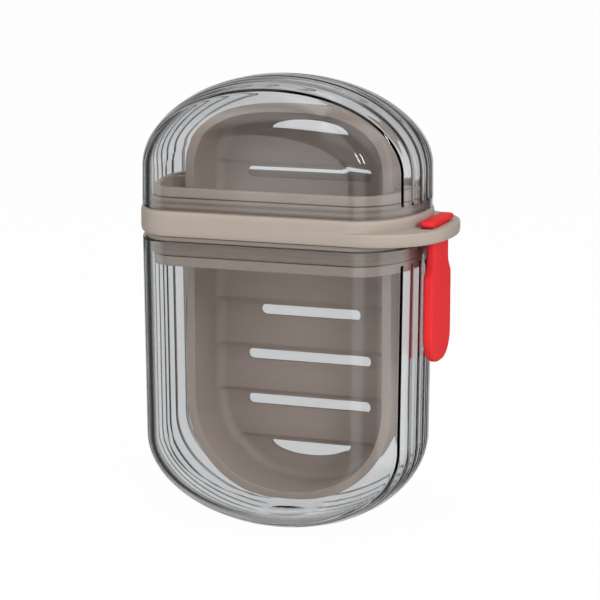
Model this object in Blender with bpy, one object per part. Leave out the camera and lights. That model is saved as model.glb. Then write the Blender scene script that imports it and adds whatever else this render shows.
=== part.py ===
"""Travel soap case that drains: two clear ribbed covers, a beige ring with its collar, a slotted tray
standing in the collar, two sealing rings and a silicone strap through the ring's tab.

Metres, +Z up. The case stands on its lower cover with the tray open towards -Y and the tab towards +X.
"""

import math

import bmesh
import bpy
from mathutils import Vector

# Case outline: flat front and back windows, elliptical edges all round
LOWER_COVER_HEIGHT = 0.0841
UPPER_COVER_HEIGHT = 0.0367
CASE_HALF_WIDTH = 0.0411
CASE_HALF_DEPTH = 0.0252
EDGE_RUN = 0.0150
SIDE_DRAFT = 0.0110
DOME_RISE = 0.0257
KEEL_RISE = 0.0274
DOME_SLOPE = 0.48
KEEL_SLOPE = 0.0
FOOT_CUT = 0.0004

# Covers
COVER_WALL = 0.0018
GROOVE_PITCH = 0.0047
GROOVE_COUNT = 7
GROOVE_DEPTH = 0.00045
GROOVE_WIDTH = 0.0013
GROOVE_FLOOR_WIDTH = 0.0001
GROOVE_RUN_OUT = 0.0007
SMOOTH_BAND_UPPER = 0.0026
SMOOTH_BAND_LOWER = 0.0045

# Ring, tab and collar
RING_HEIGHT = 0.0069
RING_OVERHANG = 0.0004
RING_EDGE = 0.0005
RING_CROWN = 0.0016
TAB_REACH = 0.0074
TAB_POWER = 2.4
TAB_THICKNESS = 0.0036
TAB_EDGE = 0.0006
TAB_NOSE_WALL = 0.0029
COLLAR_WALL = 0.0020
COLLAR_ABOVE = 0.00645
COLLAR_BELOW = 0.0087
COLLAR_EDGE = 0.0004
SEAL_RECESS = 0.0010
GUIDE_WIDTH = 0.0034
GUIDE_FRONT = 0.0032
GUIDE_CORNER = 0.0004
GUIDE_SINK = 0.0003

# Clearances
FACE_GAP = 0.0003
SEAL_GAP = 0.0004
COLLAR_GAP = 0.0011
COVER_GAP_LOWER = 0.0016
TRAY_SIDE_ROOM = 0.0100
TRAY_HEAD_ROOM = 0.0083
TRAY_FOOT_ROOM = 0.0058

# Sealing rings
SEAL_LIP = 0.0003
SEAL_STEP = 0.0008
UPPER_SEAL_HEIGHT = 0.0033
LOWER_SEAL_DROP = 0.0040
FLANGE_SETBACK = 0.0009

# Draining tray
TRAY_DEPTH = 0.0201
TRAY_TOP_RISE = 0.0220
TRAY_BOTTOM_RISE = 0.0300
TRAY_TOP_POWER = 2.6
TRAY_BOTTOM_POWER = 2.15
TRAY_LIP = 0.0009
TRAY_LIP_HEIGHT = 0.0024
TRAY_EDGE = 0.0003
TRAY_RIM_WIDTH = 0.0027
TRAY_FLOOR = 0.0013
TRAY_OUTER_CORNER = 0.0050
TRAY_INNER_CORNER = 0.0030
CREST_HEIGHT = 0.0012
CHANNEL_HEAD = 0.0034
CHANNEL_STEEP = 0.0014
CHANNEL_FOOT = 0.0080

# Drain slots
SLOT_PITCH = 0.0136
SLOT_HEIGHT = 0.0031
SLOT_END_ROOM = 0.0084
LONG_SLOT = 0.0386
SHORT_SLOT = 0.0304
END_SLOT = 0.0240
END_SLOT_RISE = 0.0041
SLOT_CUT_OVER = 0.0030

# Silicone strap
NECK_THICKNESS = 0.0028
NECK_WIDTH = 0.0132
SLOT_PLAY = 0.0003
HEAD_LENGTH = 0.0215
HEAD_WIDTH = 0.0044
HEAD_HEIGHT = 0.0016
HEAD_EDGE = 0.0006
NECK_LENGTH = 0.0071
GRIP_WIDTH = 0.0184
GRIP_THICKNESS = 0.0028
GRIP_LENGTH = 0.0292
GRIP_CORNER = 0.0078
GRIP_EDGE = 0.0009
SHOULDER_ABOVE_FLEX = 0.0006
SHOULDER_DROP = 0.0043
FLEX_GAP = 0.0005

# Facets
END_STEPS = 9
FOOT_STEPS = 1
PLAN_STEPS = 14
EDGE_STEPS = 6
TRAY_STEPS = 9
ROW_SPACING = 0.00045
SLOT_END_STEPS = 6
CORNER_STEPS = 3
CHANNEL_STEPS = 4
GRIP_STEPS = 8

LOWER_RIM = LOWER_COVER_HEIGHT
RING_BASE = LOWER_RIM + COVER_GAP_LOWER
RING_TOP = RING_BASE + RING_HEIGHT
RING_MIDDLE = RING_BASE + RING_HEIGHT / 2
UPPER_RIM = RING_TOP + FACE_GAP
CASE_TOP = UPPER_RIM + UPPER_COVER_HEIGHT
TAB_TOP = RING_BASE + TAB_THICKNESS
COLLAR_INSET = COVER_WALL + COLLAR_GAP
COLLAR_TOP = RING_TOP + COLLAR_ABOVE
COLLAR_BOTTOM = RING_BASE - COLLAR_BELOW
COLLAR_INNER = COLLAR_INSET + COLLAR_WALL
RECESS_INSET = COLLAR_INSET + SEAL_RECESS
UPPER_SEAL_TOP = RING_TOP + FACE_GAP + UPPER_SEAL_HEIGHT
LOWER_SEAL_BOTTOM = LOWER_RIM - LOWER_SEAL_DROP
TRAY_BACK_Y = CASE_HALF_DEPTH - COLLAR_INNER - FACE_GAP
TRAY_RIM_Y = TRAY_BACK_Y - TRAY_DEPTH
TRAY_FLOOR_Y = TRAY_BACK_Y - TRAY_FLOOR
TRAY_HALF_WIDTH = CASE_HALF_WIDTH - TRAY_SIDE_ROOM
TRAY_BOTTOM = TRAY_FOOT_ROOM
TRAY_TOP = CASE_TOP - TRAY_HEAD_ROOM
FLAT_HALF_WIDTH = CASE_HALF_WIDTH - EDGE_RUN
TRAY_TURN_TOP = TRAY_TOP - TRAY_TOP_RISE
TRAY_TURN_BOTTOM = TRAY_BOTTOM + TRAY_BOTTOM_RISE
FLOOR_INSET = TRAY_RIM_WIDTH + TRAY_INNER_CORNER
RING_FACE_X = CASE_HALF_WIDTH + RING_OVERHANG
NECK_SLOT = NECK_THICKNESS + 2 * SLOT_PLAY
STRAP_X = RING_FACE_X + TAB_REACH - TAB_NOSE_WALL - NECK_SLOT / 2
FLEX_AXIS_Z = RING_BASE - NECK_LENGTH


def clear_scene():
    """Empties the scene of every object."""
    for obj in list(bpy.data.objects):
        bpy.data.objects.remove(obj, do_unlink=True)


def new_collection(name):
    """Adds a collection to the scene."""
    collection = bpy.data.collections.new(name)
    bpy.context.scene.collection.children.link(collection)
    return collection


def finish_material(name, color, roughness, transmission=0.0):
    """A Principled finish of one colour."""
    material = bpy.data.materials.new(name)
    material.use_nodes = True
    shader = material.node_tree.nodes["Principled BSDF"]
    shader.inputs["Base Color"].default_value = (*color, 1.0)
    shader.inputs["Roughness"].default_value = roughness
    shader.inputs["Metallic"].default_value = 0.0
    shader.inputs["Transmission Weight"].default_value = transmission
    material.diffuse_color = (*color, 1.0 - 0.6 * transmission)
    return material


def object_from(bm, name, collection, material=None, smooth_angle=35.0, origin=(0.0, 0.0, 0.0)):
    """Turns a closed bmesh into a named object with its faces pointing out and its origin in place."""
    bmesh.ops.recalc_face_normals(bm, faces=bm.faces)
    bmesh.ops.translate(bm, vec=-Vector(origin), verts=bm.verts)
    mesh = bpy.data.meshes.new(name)
    bm.to_mesh(mesh)
    bm.free()
    obj = bpy.data.objects.new(name, mesh)
    obj.location = origin
    collection.objects.link(obj)
    if material:
        mesh.materials.append(material)
        mesh.shade_smooth()
        mesh.set_sharp_from_angle(angle=math.radians(smooth_angle))
    return obj


def helper_from(bm, name):
    """A cutter or a joined shape, kept out of the render."""
    helper = object_from(bm, name, helpers)
    helper.hide_render = True
    helper.display_type = "WIRE"
    return helper


def combine(obj, helper, operation):
    """Cuts the helper from the object or joins it on, with an exact Boolean."""
    modifier = obj.modifiers.new(helper.name, "BOOLEAN")
    modifier.operation = operation
    modifier.solver = "EXACT"
    modifier.object = helper


def grid_surface(bm, across, along, point):
    """Adds a grid of across by along faces and moves each corner to point(i, j)."""
    corners = {}
    for vert in bmesh.ops.create_grid(bm, x_segments=across, y_segments=along, size=1.0)["verts"]:
        i = round((vert.co.x + 1.0) / 2.0 * across)
        j = round((vert.co.y + 1.0) / 2.0 * along)
        corners[i, j] = vert
    for (i, j), vert in corners.items():
        vert.co = point(i, j)
    return corners


def edge_inset(y, half_depth, run):
    """How far the elliptical edge has drawn in at depth y."""
    return run * (1.0 - math.sqrt(max(0.0, 1.0 - (y / half_depth) ** 2)))


def ribbed_profile(half_depth, run, grooved, slope):
    """Depths and insets from the front window to the back one, as (y, side inset, end inset, groove depth).

    The slope draws the cover's end in sooner than its sides, away from the middle.
    """
    outer_groove = GROOVE_PITCH * (GROOVE_COUNT - 1) / 2
    last = outer_groove + GROOVE_WIDTH / 2 if grooved else 0.0
    groove = [
        (-GROOVE_WIDTH / 2, 0.0),
        (-GROOVE_FLOOR_WIDTH / 2, GROOVE_DEPTH),
        (GROOVE_FLOOR_WIDTH / 2, GROOVE_DEPTH),
        (GROOVE_WIDTH / 2, 0.0),
    ]
    turn = math.asin(last / half_depth)
    turns = [turn + (math.pi / 2 - turn) * k / EDGE_STEPS for k in range(1, EDGE_STEPS + 1)]
    edge = [half_depth * math.sin(a) for a in turns]
    depths = [(-y, 0.0) for y in reversed(edge)]
    if grooved:
        for k in range(GROOVE_COUNT):
            centre = GROOVE_PITCH * k - outer_groove
            depths += [(centre + across, depth) for across, depth in groove]
    else:
        depths.append((0.0, 0.0))
    depths += [(y, 0.0) for y in edge]
    profile = []
    for y, depth in depths:
        inset = edge_inset(y, half_depth, run)
        profile.append((y, inset, inset * (1.0 + slope * (1.0 - inset / run)), depth))
    return profile


def side_half_width(z):
    """Half width of the case's side at height z, with its draft away from the ring."""
    return CASE_HALF_WIDTH - SIDE_DRAFT * abs(z - RING_MIDDLE)


def cover_stations(rim, band_end, turn_z):
    """Stations round a cover from one side of the rim to the other: (side, z, angle, groove share).

    On the lower cover the grooves stop short of the foot.
    """
    past_band = band_end + math.copysign(GROOVE_RUN_OUT, turn_z - band_end)
    straight = [(rim, 0.0), (band_end, 0.0), (past_band, 1.0), (turn_z, 1.0)]
    stations = [(1.0, z, 0.0, share) for z, share in straight]
    turns = 2 * END_STEPS
    for k in range(1, turns):
        on_foot = turn_z < rim and abs(k - END_STEPS) <= FOOT_STEPS
        stations.append((1.0, turn_z, math.pi * k / turns, 0.0 if on_foot else 1.0))
    return stations + [(-1.0, z, 0.0, share) for z, share in reversed(straight)]


def cover_solid(profile, stations, rise, up, wall):
    """A closed pebble: the ribbed edge swept round the dome, its two flat windows and a flat rim."""

    def point(i, j):
        y, side_inset, end_inset, depth = profile[i]
        side, z, angle, share = stations[j]
        cut = wall + depth * share
        x = side * (side_half_width(z) - side_inset - cut)
        if angle:
            x *= math.cos(angle)
            z += up * (rise - end_inset - cut) * math.sin(angle)
        return Vector((x, y, z))

    bm = bmesh.new()
    across, along = len(profile) - 1, len(stations) - 1
    corners = grid_surface(bm, across, along, point)
    rim = []
    for i in (0, across):
        window = [bm.edges.get((corners[i, j], corners[i, j + 1])) for j in range(along)]
        closing = bm.edges.new((corners[i, 0], corners[i, along]))
        bmesh.ops.edgeloop_fill(bm, edges=window + [closing])
        rim.append(closing)
    for j in (0, along):
        rim += [bm.edges.get((corners[i, j], corners[i + 1, j])) for i in range(across)]
    bmesh.ops.edgeloop_fill(bm, edges=rim)
    return bm


def cut_foot(bm):
    """Cuts the keel off level with the ground, so that the case stands."""
    geometry = [*bm.verts, *bm.edges, *bm.faces]
    ground, down = (0.0, 0.0, 0.0), (0.0, 0.0, -1.0)
    cut = bmesh.ops.bisect_plane(bm, geom=geometry, plane_co=ground, plane_no=down, clear_outer=True)["geom_cut"]
    bmesh.ops.edgeloop_fill(bm, edges=[part for part in cut if isinstance(part, bmesh.types.BMEdge)])


def make_cover(name, rim, band, rise, slope, up):
    """A clear cover: the ribbed pebble with a smooth hollow cut into it through the rim."""
    end_z = CASE_TOP - rise if up > 0 else rise - FOOT_CUT
    outer = ribbed_profile(CASE_HALF_DEPTH, EDGE_RUN, True, slope)
    stations = cover_stations(rim, rim + up * band, end_z)
    pebble = cover_solid(outer, stations, rise, up, 0.0)
    if up < 0:
        cut_foot(pebble)
    cover = object_from(pebble, name, parts, clear_plastic, 25.0)
    inner = ribbed_profile(CASE_HALF_DEPTH - COVER_WALL, EDGE_RUN - COVER_WALL, False, slope)
    past_rim = rim - up * 2 * COVER_WALL
    hollow = cover_solid(inner, cover_stations(past_rim, rim + up * band, end_z), rise, up, COVER_WALL)
    combine(cover, helper_from(hollow, name + "_hollow"), "DIFFERENCE")
    return cover


def plan_point(step, inset, reach=0.0):
    """A point of the case's outline seen from above, counted round from the front of the +X end.

    Out on the tab, where reach is given, that end's curve is squarer.
    """
    end, k = divmod(step % (2 * (PLAN_STEPS + 1)), PLAN_STEPS + 1)
    angle = math.pi * (k / PLAN_STEPS - 0.5) + end * math.pi
    y = (CASE_HALF_DEPTH - inset) * math.sin(angle)
    if end:
        return -FLAT_HALF_WIDTH + (EDGE_RUN - inset) * math.cos(angle), y
    power = TAB_POWER if reach else 2.0
    bow = max(0.0, 1.0 - abs(math.sin(angle)) ** power) ** (1.0 / power)
    return FLAT_HALF_WIDTH + (EDGE_RUN + reach - inset) * bow, y


def tab_share(step):
    """How much of the tab's reach shows at this step of the plan, from 0 to 1."""
    return min(1.0, (plan_point(step, 0.0, TAB_REACH)[0] - plan_point(step, 0.0)[0]) / TAB_EDGE)


def swept_band(section):
    """Sweeps a closed section of (inset, z, kind) round the case's outline; see make_ring for the kinds."""
    bm = bmesh.new()
    count = len(section)

    def point(i, j):
        inset, z, kind = section[i % count]
        if kind == "tab_edge":
            inset = -RING_OVERHANG + (inset + RING_OVERHANG) * tab_share(j)
        x, y = plan_point(j, inset, 0.0 if kind == "plain" else TAB_REACH)
        return Vector((x, y, z))

    grid_surface(bm, count, 2 * (PLAN_STEPS + 1), point)
    bmesh.ops.remove_doubles(bm, verts=bm.verts, dist=1e-6)
    return bm


def of_kind(kind, points):
    """Marks (inset, z) points of a section with their kind."""
    return [(inset, z, kind) for inset, z in points]


def eased_edge(inset, z, run, drop):
    """The points of an elliptical edge, from the flat face at z to the upright face at inset."""
    turns = [math.pi / 2 * k / CORNER_STEPS for k in range(CORNER_STEPS + 1)]
    return [(inset + run * (1 - math.sin(a)), z + drop * (1 - math.cos(a))) for a in turns]


def rounded_block(size, centre, corner, edge=0.0):
    """A block with its upright corners rounded, and its top and bottom edges when edge is given."""
    bm = bmesh.new()
    bmesh.ops.create_cube(bm, size=1.0)
    bmesh.ops.scale(bm, vec=Vector(size), verts=bm.verts)
    upright = [e for e in bm.edges if abs(e.verts[0].co.z - e.verts[1].co.z) > size[2] / 2]
    bmesh.ops.bevel(bm, geom=upright, offset=corner, segments=5, profile=0.5, affect="EDGES")
    if edge:
        level = [e for e in bm.edges if abs(e.verts[0].co.z - e.verts[1].co.z) < 1e-9]
        bmesh.ops.bevel(bm, geom=level, offset=edge, segments=2, profile=0.5, affect="EDGES")
    bmesh.ops.translate(bm, vec=Vector(centre), verts=bm.verts)
    return bm


def make_ring():
    """The beige ring, its tab with the strap's slot, and the collar that plugs into both covers.

    The collar is stepped in next to the ring, above and below it, where the seals lie round it.

    Its section's points are plain, out on the tab, or on the tab's edge, which fades out with the tab.
    """
    out = -RING_OVERHANG
    turns = (0.0, math.pi / 4, math.pi / 2)
    tab_edge = [(out + TAB_EDGE * (1 - math.cos(a)), TAB_TOP - TAB_EDGE * (1 - math.sin(a))) for a in turns]
    upper_step = UPPER_SEAL_TOP + FACE_GAP
    lower_step = LOWER_SEAL_BOTTOM - FACE_GAP
    collar = [
        (RECESS_INSET, RING_TOP),
        (RECESS_INSET, upper_step),
        (COLLAR_INSET, upper_step),
        (COLLAR_INSET, COLLAR_TOP - COLLAR_EDGE),
        (COLLAR_INSET + COLLAR_EDGE, COLLAR_TOP),
        (COLLAR_INNER - COLLAR_EDGE, COLLAR_TOP),
        (COLLAR_INNER, COLLAR_TOP - COLLAR_EDGE),
        (COLLAR_INNER, COLLAR_BOTTOM + COLLAR_EDGE),
        (COLLAR_INNER - COLLAR_EDGE, COLLAR_BOTTOM),
        (COLLAR_INSET + COLLAR_EDGE, COLLAR_BOTTOM),
        (COLLAR_INSET, COLLAR_BOTTOM + COLLAR_EDGE),
        (COLLAR_INSET, lower_step),
        (RECESS_INSET, lower_step),
        (RECESS_INSET, RING_BASE),
    ]
    section = of_kind("tab", eased_edge(out, RING_BASE, RING_EDGE, RING_CROWN))
    section += of_kind("tab_edge", tab_edge)
    section += of_kind("plain", [(out, TAB_TOP)] + eased_edge(out, RING_TOP, RING_EDGE, -RING_CROWN)[::-1])
    section += of_kind("plain", collar)
    ring = object_from(swept_band(section), "middle_ring", parts, beige_plastic)
    slot_size = (NECK_SLOT, NECK_WIDTH + 2 * SLOT_PLAY, 2 * TAB_THICKNESS)
    slot_corner = NECK_SLOT / 2 - SLOT_PLAY
    slot = rounded_block(slot_size, (STRAP_X, 0.0, RING_BASE + TAB_THICKNESS / 2), slot_corner)
    combine(ring, helper_from(slot, "strap_slot"), "DIFFERENCE")

    side = TRAY_HALF_WIDTH - TRAY_LIP + FACE_GAP
    outer = FLAT_HALF_WIDTH + EDGE_RUN - COLLAR_INNER + GUIDE_SINK
    height = COLLAR_TOP - COLLAR_BOTTOM - 2 * COLLAR_EDGE
    for name, sign in (("guide_right", 1.0), ("guide_left", -1.0)):
        size = (outer - side, GUIDE_WIDTH, height)
        centre = (sign * (outer + side) / 2, GUIDE_FRONT + GUIDE_WIDTH / 2, (COLLAR_TOP + COLLAR_BOTTOM) / 2)
        combine(ring, helper_from(rounded_block(size, centre, GUIDE_CORNER), name), "UNION")
    return ring


def make_seals():
    """The two silicone sealing rings round the collar, one for each cover."""
    inner = RECESS_INSET - FACE_GAP
    lip = COVER_WALL + SEAL_GAP
    body = lip + SEAL_LIP
    base = RING_TOP + FACE_GAP
    top = UPPER_SEAL_TOP
    upper = [(inner, base), (body, base)]
    for k in (1, 2):
        middle = base + UPPER_SEAL_HEIGHT * k / 3
        upper += [(body, middle - SEAL_STEP / 2), (lip, middle), (body, middle + SEAL_STEP / 2)]
    upper += [(body, top - SEAL_LIP / 2), (body + SEAL_LIP / 2, top), (inner, top)]
    object_from(swept_band(of_kind("plain", upper)), "upper_seal", parts, seal_rubber)

    high = RING_BASE - FACE_GAP
    flange = LOWER_RIM + FACE_GAP
    bottom = LOWER_SEAL_BOTTOM
    lower = [(inner, high), (FLANGE_SETBACK, high), (FLANGE_SETBACK, flange), (body, flange)]
    for k in (1, 2):
        middle = flange - (flange - bottom) * k / 3
        lower += [(body, middle + SEAL_STEP / 2), (lip, middle), (body, middle - SEAL_STEP / 2)]
    lower += [(body, bottom + SEAL_LIP / 2), (body + SEAL_LIP / 2, bottom), (inner, bottom)]
    object_from(swept_band(of_kind("plain", lower)), "lower_seal", parts, seal_rubber)


def slot_heights():
    """The middle of each drain slot, from the bottom up, as many as the tray has room for."""
    first = TRAY_BOTTOM + SLOT_END_ROOM + SLOT_HEIGHT
    count = 1 + math.floor((TRAY_TOP - SLOT_END_ROOM - first) / SLOT_PITCH)
    return [first + SLOT_PITCH * k for k in range(count)]


def smooth_step(share):
    """Eases from 0 to 1."""
    share = min(max(share, 0.0), 1.0)
    return share * share * (3.0 - 2.0 * share)


def floor_depth(z):
    """Depth of the tray's floor at height z: a channel at each slot, steep above it, sloping off below."""
    for centre in slot_heights():
        above = z - centre
        if -CHANNEL_FOOT < above < CHANNEL_HEAD:
            down = (CHANNEL_HEAD - above) / CHANNEL_STEEP
            away = (CHANNEL_FOOT + above) / (CHANNEL_FOOT - SLOT_HEIGHT / 2)
            return TRAY_FLOOR_Y - CREST_HEIGHT * (1.0 - smooth_step(min(down, away)))
    return TRAY_FLOOR_Y - CREST_HEIGHT


def tray_rows():
    """Rows up the tray as (end, place): a height on the straight sides, or a share of an end's rise."""
    rows = []
    for end, power in ((-1, TRAY_BOTTOM_POWER), (1, TRAY_TOP_POWER)):
        turns = [math.pi / 2 * k / TRAY_STEPS for k in range(1, TRAY_STEPS + 1)]
        rows += [(end, math.sin(turn) ** (2 / power)) for turn in turns]
    gentle = CHANNEL_FOOT - SLOT_HEIGHT / 2
    shares = [k / CHANNEL_STEPS for k in range(CHANNEL_STEPS + 1)]
    steps = [-SLOT_HEIGHT / 2 - gentle * share for share in shares]
    steps += [CHANNEL_HEAD - CHANNEL_STEEP * share for share in shares]
    for centre in slot_heights():
        for z in (centre + step for step in steps):
            if z > TRAY_TURN_TOP:
                rows.append((1, (z - TRAY_TURN_TOP) / (TRAY_TOP_RISE - FLOOR_INSET)))
            elif z < TRAY_TURN_BOTTOM:
                rows.append((-1, (TRAY_TURN_BOTTOM - z) / (TRAY_BOTTOM_RISE - FLOOR_INSET)))
            else:
                rows.append((0, z))
    rows = sorted((row for row in rows if row[1] <= 1.0), key=lambda row: (row[0], row[1] * (row[0] or 1)))
    kept = rows[:1]
    for row in rows[1:]:
        near = ROW_SPACING / TRAY_TOP_RISE if row[0] else ROW_SPACING
        if row[0] != kept[-1][0] or row[1] == 1.0 or abs(row[1] - kept[-1][1]) > near:
            kept.append(row)
    return kept


def tray_point(row, inset):
    """Half width and height of the tray's outline at a row, drawn in by inset."""
    end, place = row
    half = TRAY_HALF_WIDTH - inset
    if end > 0:
        half *= (1 - place**TRAY_TOP_POWER) ** (1 / TRAY_TOP_POWER)
        return half, TRAY_TURN_TOP + place * (TRAY_TOP_RISE - inset)
    if end < 0:
        half *= (1 - place**TRAY_BOTTOM_POWER) ** (1 / TRAY_BOTTOM_POWER)
        return half, TRAY_TURN_BOTTOM - place * (TRAY_BOTTOM_RISE - inset)
    return half, place


def tray_section(floor):
    """Half of the tray's section as (inset, y): back, outer wall, lip, rim, inner wall and corner."""
    front, back = TRAY_RIM_Y, TRAY_BACK_Y
    section = []
    for k in range(CORNER_STEPS + 1):
        turn = math.pi / 2 * k / CORNER_STEPS
        drawn = TRAY_OUTER_CORNER * (1 - math.sin(turn))
        section.append((TRAY_LIP + drawn, back - TRAY_OUTER_CORNER * (1 - math.cos(turn))))
    section += [
        (TRAY_LIP, front + TRAY_LIP_HEIGHT + TRAY_LIP / 2),
        (0.0, front + TRAY_LIP_HEIGHT),
        (0.0, front + TRAY_EDGE),
        (TRAY_EDGE, front),
        (TRAY_RIM_WIDTH - TRAY_EDGE, front),
        (TRAY_RIM_WIDTH, front + TRAY_EDGE),
    ]
    for k in range(CORNER_STEPS + 1):
        turn = math.pi / 2 * k / CORNER_STEPS
        drawn = TRAY_INNER_CORNER * (1 - math.cos(turn))
        section.append((TRAY_RIM_WIDTH + drawn, floor - TRAY_INNER_CORNER * (1 - math.sin(turn))))
    return section


def make_tray():
    """The dish that holds the soap: lipped rim, deep walls, a floor of soft waves with a slot in each."""
    rows = tray_rows()
    half = len(tray_section(TRAY_FLOOR_Y))

    def point(i, j):
        side, k = (1.0, i) if i < half else (-1.0, 2 * half - 1 - i)
        if i == 2 * half:
            side, k = 1.0, 0
        floor = floor_depth(tray_point(rows[j], FLOOR_INSET)[1])
        inset, y = tray_section(floor)[k]
        x, z = tray_point(rows[j], inset)
        return Vector((side * x, y, z))

    bm = bmesh.new()
    grid_surface(bm, 2 * half, len(rows) - 1, point)
    bmesh.ops.remove_doubles(bm, verts=bm.verts, dist=1e-6)
    tray = object_from(bm, "drain_tray", parts, tray_plastic)

    slots = bmesh.new()
    heights = slot_heights()
    start = TRAY_FLOOR_Y - CREST_HEIGHT - SLOT_CUT_OVER
    push = Vector((0.0, TRAY_BACK_Y + SLOT_CUT_OVER - start, 0.0))
    for k, z in enumerate(heights):
        outline = slot_outline(k, len(heights))
        extruded(slots, [Vector((x, start, z + up)) for x, up in outline], push)
    combine(tray, helper_from(slots, "drain_slots"), "DIFFERENCE")
    return tray


def slot_outline(k, count):
    """Outline of slot k of count: bowed at both ends of the tray, short in its middle, else long."""
    if k == 0:
        return bowed_slot(-1.0)
    if k == count - 1:
        return bowed_slot(1.0)
    return straight_slot(SHORT_SLOT if k in (count // 2 - 1, count // 2) else LONG_SLOT)


def straight_slot(length):
    """A slot's outline with round ends, as (x, z) from its middle."""
    radius = SLOT_HEIGHT / 2
    turns = [math.pi * (k / SLOT_END_STEPS - 0.5) for k in range(SLOT_END_STEPS + 1)]
    right = [(length / 2 - radius + radius * math.cos(a), radius * math.sin(a)) for a in turns]
    return right + [(-x, -z) for x, z in right]


def bowed_slot(up):
    """An end slot's outline: straight towards the middle of the tray, bowed towards its rim."""
    turns = [math.pi * k / (2 * SLOT_END_STEPS) for k in range(2 * SLOT_END_STEPS + 1)]
    return [(END_SLOT / 2 * math.cos(a), up * (END_SLOT_RISE * math.sin(a) - SLOT_HEIGHT / 2)) for a in turns]


def extruded(bm, outline, push):
    """Pushes a flat outline out into a closed solid and returns its faces' edges round both ends."""
    face = bmesh.ops.contextual_create(bm, geom=[bm.verts.new(point) for point in outline])["faces"]
    pushed = bmesh.ops.extrude_face_region(bm, geom=face)["geom"]
    far = [v for v in pushed if isinstance(v, bmesh.types.BMVert)]
    bmesh.ops.translate(bm, vec=push, verts=far)
    ends = face + [f for f in pushed if isinstance(f, bmesh.types.BMFace)]
    return list({edge for end in ends for edge in end.edges})


def grip_half_width(z):
    """Half width of the strap's grip: as wide as the neck at its top, then broad below its shoulder."""
    share = (FLEX_AXIS_Z + SHOULDER_ABOVE_FLEX - z) / SHOULDER_DROP
    return (NECK_WIDTH + (GRIP_WIDTH - NECK_WIDTH) * smooth_step(share)) / 2


def make_strap():
    """The silicone strap in its two rigid halves: head and neck, and the grip that flexes below."""
    head_x = RING_FACE_X + FACE_GAP + HEAD_WIDTH / 2
    head_centre = (head_x, 0.0, TAB_TOP + FACE_GAP + HEAD_HEIGHT / 2)
    head_corner = HEAD_WIDTH / 2 - SLOT_PLAY
    head = rounded_block((HEAD_WIDTH, HEAD_LENGTH, HEAD_HEIGHT), head_centre, head_corner, HEAD_EDGE)
    seat = (STRAP_X, 0.0, TAB_TOP)
    strap_head = object_from(head, "strap_head", parts, red_silicone, origin=seat)
    top = FLEX_AXIS_Z + GRIP_THICKNESS / 2
    neck_end = top + FLEX_GAP
    neck_top = TAB_TOP + FACE_GAP + HEAD_HEIGHT / 2
    neck_size = (NECK_THICKNESS, NECK_WIDTH, neck_top - neck_end)
    neck_corner = NECK_THICKNESS / 2 - SLOT_PLAY
    neck = rounded_block(neck_size, (STRAP_X, 0.0, (neck_top + neck_end) / 2), neck_corner)
    combine(strap_head, helper_from(neck, "strap_neck"), "UNION")

    flat = GRIP_WIDTH / 2 - GRIP_CORNER
    bottom = top - GRIP_LENGTH
    heights = [top - (GRIP_LENGTH - GRIP_CORNER) * k / GRIP_STEPS for k in range(GRIP_STEPS + 1)]
    half = [(grip_half_width(z), z) for z in heights]
    turns = [math.pi / 2 * k / GRIP_STEPS for k in range(1, GRIP_STEPS + 1)]
    half += [(flat + GRIP_CORNER * math.cos(a), bottom + GRIP_CORNER * (1 - math.sin(a))) for a in turns]
    outline = half + [(-y, z) for y, z in reversed(half)]
    bm = bmesh.new()
    face = [Vector((STRAP_X - GRIP_THICKNESS / 2, y, z)) for y, z in outline]
    rims = extruded(bm, face, Vector((GRIP_THICKNESS, 0.0, 0.0)))
    bmesh.ops.bevel(bm, geom=rims, offset=GRIP_EDGE, segments=2, profile=0.5, affect="EDGES")
    flex = (STRAP_X, 0.0, FLEX_AXIS_Z)
    object_from(bm, "strap_grip", parts, red_silicone, origin=flex)


clear_scene()
parts = new_collection("draining_soap_case")
helpers = new_collection("helpers")
clear_plastic = finish_material("clear_plastic", (0.62, 0.64, 0.66), 0.06, 0.9)
beige_plastic = finish_material("beige_plastic", (0.46, 0.40, 0.34), 0.42)
tray_plastic = finish_material("tray_plastic", (0.40, 0.35, 0.30), 0.45)
seal_rubber = finish_material("seal_rubber", (0.20, 0.17, 0.14), 0.6)
red_silicone = finish_material("red_silicone", (0.75, 0.02, 0.02), 0.5)

make_cover("lower_cover", LOWER_RIM, SMOOTH_BAND_LOWER, KEEL_RISE, KEEL_SLOPE, -1.0)
make_cover("upper_cover", UPPER_RIM, SMOOTH_BAND_UPPER, DOME_RISE, DOME_SLOPE, 1.0)
make_ring()
make_seals()
make_tray()
make_strap()
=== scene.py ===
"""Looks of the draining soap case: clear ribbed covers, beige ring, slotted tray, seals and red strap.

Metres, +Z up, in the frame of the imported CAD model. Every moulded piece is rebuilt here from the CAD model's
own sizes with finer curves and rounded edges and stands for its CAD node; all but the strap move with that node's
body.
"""

from __future__ import annotations

import logging
import math
from collections.abc import Callable
from dataclasses import dataclass
from enum import Enum
from functools import cached_property

import bmesh
import bpy
from bmesh.types import BMesh
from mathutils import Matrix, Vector


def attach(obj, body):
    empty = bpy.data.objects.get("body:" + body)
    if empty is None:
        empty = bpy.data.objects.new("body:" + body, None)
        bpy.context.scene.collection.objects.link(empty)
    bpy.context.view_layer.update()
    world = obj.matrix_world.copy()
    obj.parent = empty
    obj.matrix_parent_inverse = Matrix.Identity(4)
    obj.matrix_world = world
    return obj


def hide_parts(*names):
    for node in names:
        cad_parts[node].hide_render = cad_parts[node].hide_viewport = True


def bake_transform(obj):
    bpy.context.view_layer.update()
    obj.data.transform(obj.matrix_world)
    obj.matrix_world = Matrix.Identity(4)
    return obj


LOG = logging.getLogger("soap_case")
MERGE_DISTANCE = 1e-6
CORNER_SEGMENTS = 12
EDGE_SEGMENTS = 5
NODE_SPACING = 180.0
GRAIN_DETAIL = 3.0
GRAIN_ROUGHNESS = 0.6
CLOUD_SCALE = 70.0
CLOUD_DETAIL = 4.0
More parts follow.
